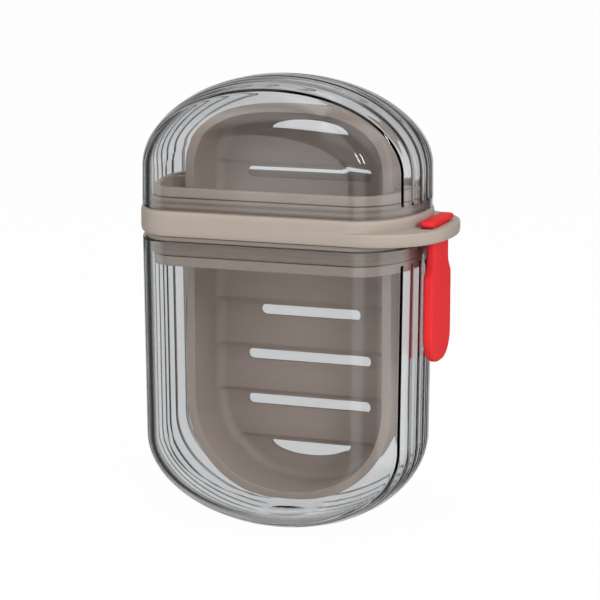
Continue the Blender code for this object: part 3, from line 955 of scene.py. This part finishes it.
@dataclass
class SealingRings:
    """The two silicone rings that lie in the collar's recesses."""

    band: SweptBand
    gap: float = 0.0004
    lip: float = 0.0003
    lip_steps: int = 8
    upper_height: float = 0.0033
    lower_drop: float = 0.0040
    flange_setback: float = 0.0009
    smooth_angle: float = 30.0

    @property
    def upper_top(self) -> float:
        """Height of the upper seal's top."""
        return OUTLINE.ring_top + OUTLINE.face_gap + self.upper_height

    @property
    def lower_bottom(self) -> float:
        """Height of the lower seal's bottom."""
        return OUTLINE.lower_rim - self.lower_drop

    def build(self, material: bpy.types.Material) -> None:
        """Adds both seals to the scene.

        Args:
            material: The seals' silicone.
        """
        inner = OUTLINE.collar_inset + OUTLINE.seal_recess - OUTLINE.face_gap
        lip = OUTLINE.wall + self.gap
        body = lip + self.lip
        base = OUTLINE.ring_top + OUTLINE.face_gap
        upper = [(inner, base), (body, base)]
        upper += self.lips(body, lip, base, self.upper_height)
        top = self.upper_top
        upper += [(body, top - self.lip / 2), (body + self.lip / 2, top), (inner, top)]
        high = OUTLINE.ring_base - OUTLINE.face_gap
        flange = OUTLINE.lower_rim + OUTLINE.face_gap
        bottom = self.lower_bottom
        lower = [(inner, high), (self.flange_setback, high), (self.flange_setback, flange), (body, flange)]
        lower += self.lips(body, lip, flange, bottom - flange)
        lower += [(body, bottom + self.lip / 2), (body + self.lip / 2, bottom), (inner, bottom)]
        for name, section in (("upper_seal", upper), ("lower_seal", lower)):
            bm = self.band.swept(following(Reach.PLAIN, section))
            piece = place_piece(bm, "silicone_" + name, material, (name,), self.smooth_angle)
            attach(piece, "ring_assembly")

    def lips(self, body: float, lip: float, start: float, travel: float) -> list[Pair]:
        """Gives the points of a seal's two soft lips.

        Args:
            body: Inset of the seal's body.
            lip: Inset of the lips' crests.
            start: Height the seal starts at.
            travel: Its height, negative for one that goes down.

        Returns:
            Points as (inset, z).
        """
        points = []
        for k in range(1, 2 * self.lip_steps):
            rounding = (1 - math.cos(2 * math.pi * k / self.lip_steps)) / 2
            points.append((body + (lip - body) * rounding, start + travel * k / (2 * self.lip_steps)))
        return points


# Tray


@dataclass
class DrainTray:
    """The dish for the soap: lipped rim, deep walls, a floor of soft waves with a slot in each."""

    back_y: float = 0.0200
    depth: float = 0.0201
    half_width: float = 0.0311
    bottom: float = 0.0058
    top: float = 0.1213
    top_rise: float = 0.0220
    bottom_rise: float = 0.0300
    top_power: float = 2.6
    bottom_power: float = 2.15
    lip: float = 0.0009
    lip_height: float = 0.0024
    edge: float = 0.0003
    rim_width: float = 0.0027
    floor: float = 0.0013
    outer_corner: float = 0.0050
    inner_corner: float = 0.0030
    crest: float = 0.0012
    channel_head: float = 0.0034
    channel_steep: float = 0.0014
    channel_foot: float = 0.0080
    slot_pitch: float = 0.0136
    slot_height: float = 0.0031
    slot_end_room: float = 0.0084
    long_slot: float = 0.0386
    short_slot: float = 0.0304
    end_slot: float = 0.0240
    end_slot_rise: float = 0.0041
    cutter_reach: float = 0.003
    corner_steps: int = 8
    edge_steps: int = 3
    slot_steps: int = 12
    end_rows: int = 30
    row_height: float = 0.00055
    smooth_angle: float = 50.0

    def slot_heights(self) -> list[float]:
        """Lists the slots from the bottom up.

        Returns:
            The height of each slot's middle.
        """
        first = self.bottom + self.slot_end_room + self.slot_height
        count = 1 + math.floor((self.top - self.slot_end_room - first) / self.slot_pitch)
        return [first + self.slot_pitch * k for k in range(count)]

    def floor_depth(self, z: float) -> float:
        """Gives the floor's depth: a channel at each slot, steep above it, sloping off below.

        Args:
            z: Height on the tray.

        Returns:
            The floor's y.
        """
        crest_y = self.back_y - self.floor - self.crest
        for centre in self.slot_heights():
            above = z - centre
            if -self.channel_foot < above < self.channel_head:
                down = (self.channel_head - above) / self.channel_steep
                away = (self.channel_foot + above) / (self.channel_foot - self.slot_height / 2)
                return crest_y + self.crest * eased(min(down, away))
        return crest_y

    def rows(self) -> list[Row]:
        """Lists rows up the tray.

        Returns:
            Rows as (end, share of that end's rise), or as (0, height) on the straight sides.
        """
        start, stop = self.bottom + self.bottom_rise, self.top - self.top_rise
        turns = quarter_turn(self.end_rows)[1:]
        count = math.ceil((stop - start) / self.row_height)
        rows = [(-1, math.sin(a) ** (2 / self.bottom_power)) for a in reversed(turns)]
        rows += [(0, start + (stop - start) * k / count) for k in range(count + 1)]
        rows += [(1, math.sin(a) ** (2 / self.top_power)) for a in turns]
        return self.evened(rows)

    def evened(self, rows: list[Row]) -> list[Row]:
        """Adds rows where those of a rounded end lie far apart.

        Args:
            rows: Rows in order up the tray.

        Returns:
            The rows with those added.
        """
        filled = [rows[0]]
        for row in rows[1:]:
            last = filled[-1]
            end = row[0] or last[0]
            a = last[1] if last[0] else 0.0
            b = row[1] if row[0] else 0.0
            if end:
                rise = self.top_rise if end > 0 else self.bottom_rise
                parts = math.ceil(abs(b - a) * rise / self.row_height)
                filled += [(end, a + (b - a) * k / parts) for k in range(1, parts)]
            filled.append(row)
        return filled

    def outline_point(self, row: Row, inset: float) -> Pair:
        """Gives a point of the tray's outline.

        Args:
            row: Row that it is on.
            inset: How far inside the rim it lies.

        Returns:
            Its distance from the middle and its height.
        """
        end, place = row
        half = self.half_width - inset
        if not end:
            return half, place
        tip, rise, power = self.top, self.top_rise, self.top_power
        if end < 0:
            tip, rise, power = self.bottom, self.bottom_rise, self.bottom_power
        return half * (1 - place**power) ** (1 / power), tip - end * rise + end * place * (rise - inset)

    def section(self, floor: float) -> list[Pair]:
        """Lists half of the section: back, outer wall, lip, rim, inner wall and corner.

        Args:
            floor: Depth of the floor there.

        Returns:
            Points as (inset, y).
        """
        front, edge, inner = self.back_y - self.depth, self.edge, self.rim_width
        points = eased_edge(self.lip, self.back_y, self.outer_corner, -self.outer_corner, self.corner_steps)
        points += [(self.lip, front + self.lip_height + self.lip / 2), (0.0, front + self.lip_height)]
        points += eased_edge(0.0, front, edge, edge, self.edge_steps)[::-1]
        points += eased_edge(inner, front, -edge, edge, self.edge_steps)
        return points + eased_edge(inner, floor, self.inner_corner, -self.inner_corner, self.corner_steps)[::-1]

    def slot_outline(self, k: int, count: int) -> list[Pair]:
        """Lists a slot's outline: bowed at both ends of the tray, short in its middle, else long.

        Args:
            k: Number of the slot, from the bottom.
            count: How many slots there are.

        Returns:
            Points as (x, height above the slot's middle).
        """
        if k in (0, count - 1):
            up = -1.0 if k == 0 else 1.0
            turns = [math.pi * s / (2 * self.slot_steps) for s in range(2 * self.slot_steps + 1)]
            rise, half = self.end_slot_rise, self.slot_height / 2
            return [(self.end_slot / 2 * math.cos(a), up * (rise * math.sin(a) - half)) for a in turns]
        length = self.short_slot if k in (count // 2 - 1, count // 2) else self.long_slot
        radius = self.slot_height / 2
        turns = [math.pi * (s / self.slot_steps - 0.5) for s in range(self.slot_steps + 1)]
        right = [(length / 2 - radius + radius * math.cos(a), radius * math.sin(a)) for a in turns]
        return right + [(-x, -z) for x, z in right]

    def slots(self) -> BMesh:
        """Builds the shapes that cut the slots.

        Returns:
            All of them in one.
        """
        bm = bmesh.new()
        heights = self.slot_heights()
        start = self.back_y - self.floor - self.crest - self.cutter_reach
        push = (0.0, self.back_y + self.cutter_reach - start, 0.0)
        for k, z in enumerate(heights):
            add_prism(bm, [(x, start, z + up) for x, up in self.slot_outline(k, len(heights))], push)
        return bm

    def build(self, material: bpy.types.Material) -> None:
        """Adds the tray to the scene.

        Args:
            material: The tray's plastic.
        """
        rows = self.rows()
        half = len(self.section(0.0))

        def point(i: int, j: int) -> Vector:
            """Place of section point i at row j."""
            i %= 2 * half
            side, k = (1.0, i) if i < half else (-1.0, 2 * half - 1 - i)
            floor = self.floor_depth(self.outline_point(rows[j], self.rim_width + self.inner_corner)[1])
            inset, y = self.section(floor)[k]
            x, z = self.outline_point(rows[j], inset)
            return Vector((side * x, y, z))

        bm = bmesh.new()
        grid_sheet(bm, 2 * half, len(rows) - 1, point)
        tray = combined(bm, self.slots(), Combining.CUT)
        piece = place_piece(tray, "soap_tray", material, ("drain_tray",), self.smooth_angle)
        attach(piece, "ring_assembly")


# Strap


@dataclass
class SiliconeStrap:
    """The red strap: head on the tab, neck through its slot, broad grip below."""

    x: float = 0.0443
    tab_top: float = 0.0893
    flex_z: float = 0.0786
    neck_thickness: float = 0.0028
    neck_width: float = 0.0132
    neck_corner: float = 0.0011
    head_length: float = 0.0215
    head_width: float = 0.0044
    head_height: float = 0.0016
    head_corner: float = 0.0019
    head_edge: float = 0.00079
    grip_width: float = 0.0184
    grip_thickness: float = 0.0028
    grip_length: float = 0.0292
    grip_corner: float = 0.0078
    grip_edge: float = 0.0009
    shoulder_above: float = 0.0006
    shoulder_drop: float = 0.0043
    ring_overhang: float = 0.0004
    bend_start: float = 0.0812
    bend_end: float = 0.0760
    steps: int = 20
    bend_cuts: int = 14
    smooth_angle: float = 45.0

    def grip_half_width(self, z: float) -> float:
        """Half width of the grip: as wide as the neck at its top, then broad below its shoulder."""
        share = (self.flex_z + self.shoulder_above - z) / self.shoulder_drop
        return (self.neck_width + (self.grip_width - self.neck_width) * eased(share)) / 2

    def grip(self) -> BMesh:
        """Builds the grip, up into the neck.

        Returns:
            The closed shape.
        """
        radius = self.grip_corner
        flat = self.grip_width / 2 - radius
        top = self.flex_z + self.grip_thickness / 2
        bottom = top - self.grip_length
        heights = [top - (self.grip_length - radius) * k / self.steps for k in range(self.steps + 1)]
        half = [(self.grip_half_width(z), z) for z in heights]
        turns = quarter_turn(self.steps)[1:]
        half += [(flat + radius * math.cos(a), bottom + radius * (1 - math.sin(a))) for a in turns]
        outline = half + [(-y, z) for y, z in reversed(half)]
        bm = bmesh.new()
        front = self.x - self.grip_thickness / 2
        ends = add_prism(bm, [(front, y, z) for y, z in outline], (self.grip_thickness, 0.0, 0.0))
        rims = list({edge for end in ends for edge in end.edges})
        round_edges(bm, rims, self.grip_edge, EDGE_SEGMENTS)
        return bm

    def build(self, material: bpy.types.Material) -> None:
        """Adds the strap to the scene as one piece, with extra cuts across it about its neck.

        Args:
            material: The red silicone.
        """
        gap = OUTLINE.face_gap
        head_x = OUTLINE.half_width + self.ring_overhang + gap + self.head_width / 2
        head_z = self.tab_top + gap + self.head_height / 2
        size = (self.head_width, self.head_length, self.head_height)
        strap = rounded_block(size, (head_x, 0.0, head_z), self.head_corner, self.head_edge)
        low = self.flex_z
        neck_size = (self.neck_thickness, self.neck_width, head_z - low)
        neck = rounded_block(neck_size, (self.x, 0.0, (head_z + low) / 2), self.neck_corner)
        strap = combined(strap, neck, Combining.JOIN)
        strap = combined(strap, self.grip(), Combining.JOIN)
        start, end = self.bend_start, self.bend_end
        for k in range(self.bend_cuts + 1):
            level = (0.0, 0.0, start + (end - start) * k / self.bend_cuts)
            geometry = [*strap.verts, *strap.edges, *strap.faces]
            bmesh.ops.bisect_plane(strap, geom=geometry, plane_co=level, plane_no=(0.0, 0.0, 1.0))
        nodes = ("strap_head", "strap_grip")
        piece = place_piece(strap, "red_strap", material, nodes, self.smooth_angle)
        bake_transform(piece)


# Studio


@dataclass(frozen=True)
class Lamp:
    """One lamp that faces the case: soft and out of every reflection, or a bright strip for the glints."""

    name: str
    place: Point
    width: float
    height: float
    power: float
    mirrored: bool = False
    target: Point = (0.0, 0.0, 0.06)

    def add(self) -> None:
        """Adds the lamp."""
        lamp = bpy.data.lights.new(self.name, "AREA")
        lamp.shape = "RECTANGLE"
        lamp.size = self.width
        lamp.size_y = self.height
        lamp.energy = self.power
        stand = aimed(self.name, lamp, self.place, self.target)
        stand.visible_glossy = self.mirrored
        stand.visible_transmission = False


LAMPS = (
    Lamp("key_softbox", (1.05, -0.70, 0.50), 0.55, 0.55, 7.5),
    Lamp("fill_softbox", (-0.90, -0.80, 0.30), 0.6, 0.6, 3.0),
    Lamp("top_softbox", (0.05, -0.30, 1.25), 0.8, 0.8, 7.0),
    Lamp("left_strip", (0.68, -0.82, 0.95), 0.05, 0.42, 1.2, mirrored=True),
    Lamp("right_strip", (0.84, -0.66, 0.95), 0.05, 0.42, 1.2, mirrored=True),
)
CARD_EDGES = (
    ("X", "card from the left", (-0.386, -0.356), (0.0, 1.0)),
    ("X", "card to the right", (-0.31, -0.26), (1.0, 0.0)),
    ("Y", "card in front", (-0.5, -0.4), (1.0, 0.0)),
    ("Z", "card from below", (-0.165, -0.135), (0.0, 1.0)),
    ("Z", "card to the top", (-0.07, -0.03), (1.0, 0.0)),
)


@dataclass
class Studio:
    """Pale floor, white surroundings with dark flags, soft lamps and the camera at the photograph's angle."""

    floor_half: float = 3.0
    floor_colour: Colour = (0.9, 0.9, 0.9)
    floor_roughness: float = 0.9
    floor_glow: float = 0.97
    front_light: float = 0.60
    back_light: float = 0.256
    side_flag: float = 0.05
    upright_flag: float = 0.38
    flag_start: Pair = (math.radians(12.0), math.radians(30.0))
    flag_end: Pair = (math.radians(56.0), math.radians(70.0))
    open_level: float = 0.8
    front_level: float = 0.75
    front_part: Pair = (-1.0, -0.2)
    card_level: float = 0.8
    view_azimuth: float = 20.19
    view_elevation: float = 10.84
    camera_place: Point = (0.22348, -0.59761, 0.18715)
    camera_target: Point = (0.00372, 0.0, 0.06523)
    lens: float = 136.8
    sensor_width: float = 36.0
    clip_start: float = 0.01

    def build(self) -> None:
        """Adds floor, world, lamps and camera."""
        self.add_floor()
        self.add_world()
        for lamp in LAMPS:
            lamp.add()
        self.add_camera()

    def add_floor(self) -> None:
        """Adds the floor, which shows white and keeps a soft shadow."""
        bm = bmesh.new()
        bmesh.ops.create_grid(bm, x_segments=1, y_segments=1, size=self.floor_half)
        mesh = bpy.data.meshes.new("floor")
        bm.to_mesh(mesh)
        bm.free()
        material, sheet, shader = new_material("pale_floor")
        sheet.feed(shader, {"Base Color": (*self.floor_colour, 1.0), "Roughness": self.floor_roughness})
        rays = sheet.add("ShaderNodeLightPath", "rays").outputs
        share = sheet.calc("share of white", "MULTIPLY", rays["Is Camera Ray"], self.floor_glow)
        sheet.put_out("floor or white", share, shader, sheet.add("ShaderNodeEmission", "white"))
        mesh.materials.append(material)
        floor = put_in_scene("floor", mesh)
        floor.visible_glossy = False
        floor.visible_transmission = False

    def add_world(self) -> None:
        """Adds the surroundings: white where seen, with dark flags between the views for clear edges."""
        world = bpy.data.worlds.new("studio")
        bpy.context.scene.world = world
        world.use_nodes = True
        world.node_tree.nodes.clear()
        sheet = NodeSheet(world.node_tree)
        direction = sheet.add("ShaderNodeTexCoord", "direction").outputs["Generated"]
        turn = math.radians(self.view_azimuth)
        far, side = (
            sheet.add("ShaderNodeVectorMath", label, {0: direction, 1: axis}, operation="DOT_PRODUCT").outputs["Value"]
            for label, axis in (
                ("how far behind", (-math.sin(turn), math.cos(turn), 0.0)),
                ("how far aside", (math.cos(turn), math.sin(turn), 0.0)),
            )
        )
        bearing = sheet.calc("bearing", "ARCTAN2", side, far)
        parts = sheet.add("ShaderNodeSeparateXYZ", "parts", {0: direction}).outputs
        rise = sheet.calc("rise", "ARCSINE", parts["Z"])
        tilt = sheet.calc("above the view", "ADD", rise, math.radians(self.view_elevation))
        aside = self.flags(sheet, bearing, self.side_flag)
        upright = self.flags(sheet, tilt, self.upright_flag)
        flags = sheet.calc("flags aside, above and below", "MINIMUM", aside, upright)
        around = sheet.calc("flags in the open", "MULTIPLY", flags, self.open_level)
        front = sheet.ramp("dim front", far, self.front_part, (self.front_level, 1.0))
        dimmed = sheet.calc("dimmer in front", "MULTIPLY", around, front)
        lit = sheet.calc("with the bright card", "MULTIPLY_ADD", self.card(sheet, parts), self.card_level, dimmed)
        rays = sheet.add("ShaderNodeLightPath", "rays").outputs
        sharp = sheet.calc("gloss or clear plastic", "MAXIMUM", rays["Is Glossy Ray"], rays["Is Transmission Ray"])
        light = sheet.ramp("soft light", far, (-1.0, 1.0), (self.front_light, self.back_light))
        seen = sheet.mix("flags or soft light", "FLOAT", sharp, light, lit)
        level = sheet.mix("white to the camera", "FLOAT", rays["Is Camera Ray"], seen, 1.0)
        white = sheet.add("ShaderNodeBackground", "white", {"Color": (1.0, 1.0, 1.0, 1.0), "Strength": level})
        sheet.add("ShaderNodeOutputWorld", "world", {"Surface": white.outputs[0]})

    @staticmethod
    def card(sheet: NodeSheet, parts: bpy.types.NodeOutputs) -> Socket | float:
        """Gives the share of the bright card low in front, which the upper window reflects.

        Args:
            sheet: Sheet that takes the nodes.
            parts: The direction's X, Y and Z.

        Returns:
            The share, from 0 outside the card to 1 on it.
        """
        share: Socket | float = 1.0
        for axis, label, start_end, levels in CARD_EDGES:
            edge = sheet.ramp(label, parts[axis], start_end, levels)
            share = sheet.calc("inside the card", "MULTIPLY", share, edge)
        return share

    def flags(self, sheet: NodeSheet, angle: Socket, dark: float) -> Socket:
        """Gives the level round the quarters of an angle: white straight on and square to it, dark between.

        Args:
            sheet: Sheet that takes the nodes.
            angle: The angle in radians.
            dark: Level of the dark quarters.

        Returns:
            The level.
        """
        quarter = sheet.calc("quarter turn", "PINGPONG", angle, math.pi / 2)
        falling = sheet.ramp("into the flag", quarter, self.flag_start, (1.0, dark))
        rising = sheet.ramp("out of the flag", quarter, self.flag_end, (dark, 1.0))
        return sheet.calc("round the flag", "MAXIMUM", falling, rising)

    def add_camera(self) -> None:
        """Adds the camera."""
        camera = bpy.data.cameras.new("camera")
        camera.lens = self.lens
        camera.sensor_width = self.sensor_width
        camera.clip_start = self.clip_start
        bpy.context.scene.camera = aimed("camera", camera, self.camera_place, self.camera_target)


def main() -> None:
    """Builds the looks."""
    logging.basicConfig(level=logging.INFO, format="%(name)s %(message)s")
    bpy.context.scene.view_settings.view_transform = "Standard"
    skin = moulded_skin_group()
    clear = ClearFinish().material()
    band = SweptBand()
    ClearCover("lower_cover", Half.LOWER, rim=OUTLINE.lower_rim, band=0.0045, rise=0.0274).build(clear)
    ClearCover("upper_cover", Half.UPPER, rim=OUTLINE.upper_rim, band=0.0026, rise=0.0257, end_slope=0.48).build(clear)
    seals = SealingRings(band)
    MiddleRing(band, seals).build(BEIGE.material(skin))
    seals.build(RUBBER.material(skin))
    DrainTray().build(TRAY.material(skin))
    SiliconeStrap().build(RED.material(skin))
    Studio().build()


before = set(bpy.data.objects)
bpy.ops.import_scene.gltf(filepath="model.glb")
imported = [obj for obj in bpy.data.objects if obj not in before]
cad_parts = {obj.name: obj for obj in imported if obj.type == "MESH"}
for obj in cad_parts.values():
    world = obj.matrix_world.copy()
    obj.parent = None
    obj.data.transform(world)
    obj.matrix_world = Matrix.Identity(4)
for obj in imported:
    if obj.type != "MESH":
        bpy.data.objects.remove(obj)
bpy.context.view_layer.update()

if __name__ == "__main__":
    main()
